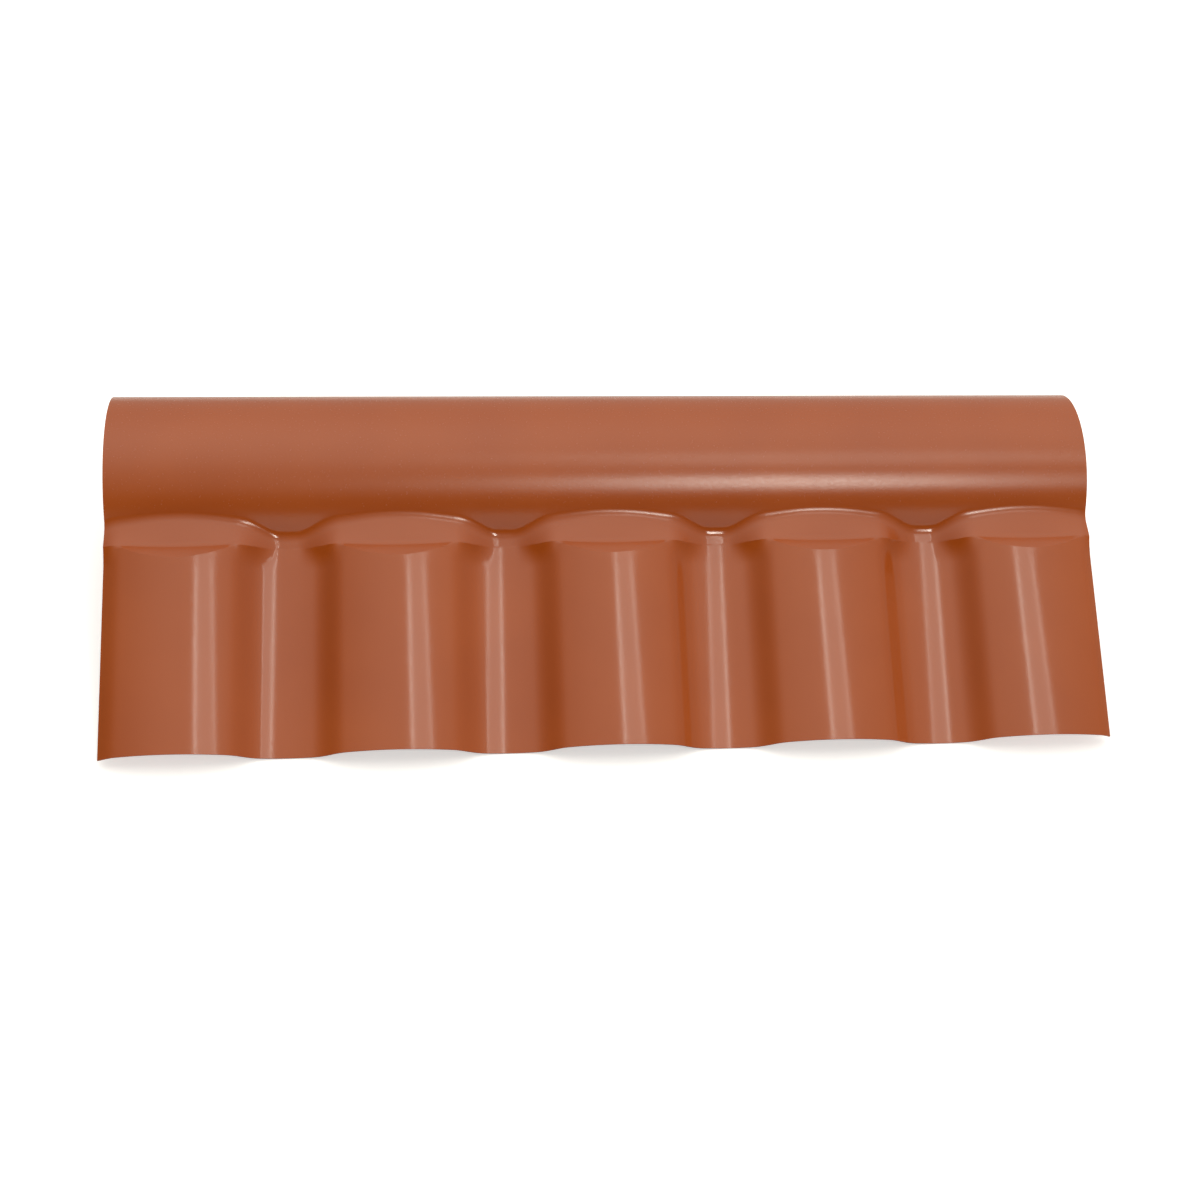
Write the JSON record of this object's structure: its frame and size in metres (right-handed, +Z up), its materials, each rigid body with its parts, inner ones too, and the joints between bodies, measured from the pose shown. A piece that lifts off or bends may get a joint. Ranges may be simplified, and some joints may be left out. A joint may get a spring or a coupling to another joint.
{
  "type": "roof ridge cap",
  "caption": "Formed plastic ridge cap: a half round roll along the ridge with a waved, tile-shaped flange down each slope, the barrels ending in small level ledges.",
  "frame": {"origin": "centre of the footprint, on the level floor the cap stands on", "axes": "+X along the ridge, +Y square to the ridge towards the far slope, +Z up"},
  "size_m": [0.88, 0.5184, 0.1987],
  "materials": {
    "pvc_sheet": "terracotta PVC, satin with a fine grain"
  },
  "bodies": {
    "root": {"ridge_cap": "pvc_sheet"}
  },
  "joints": []
}
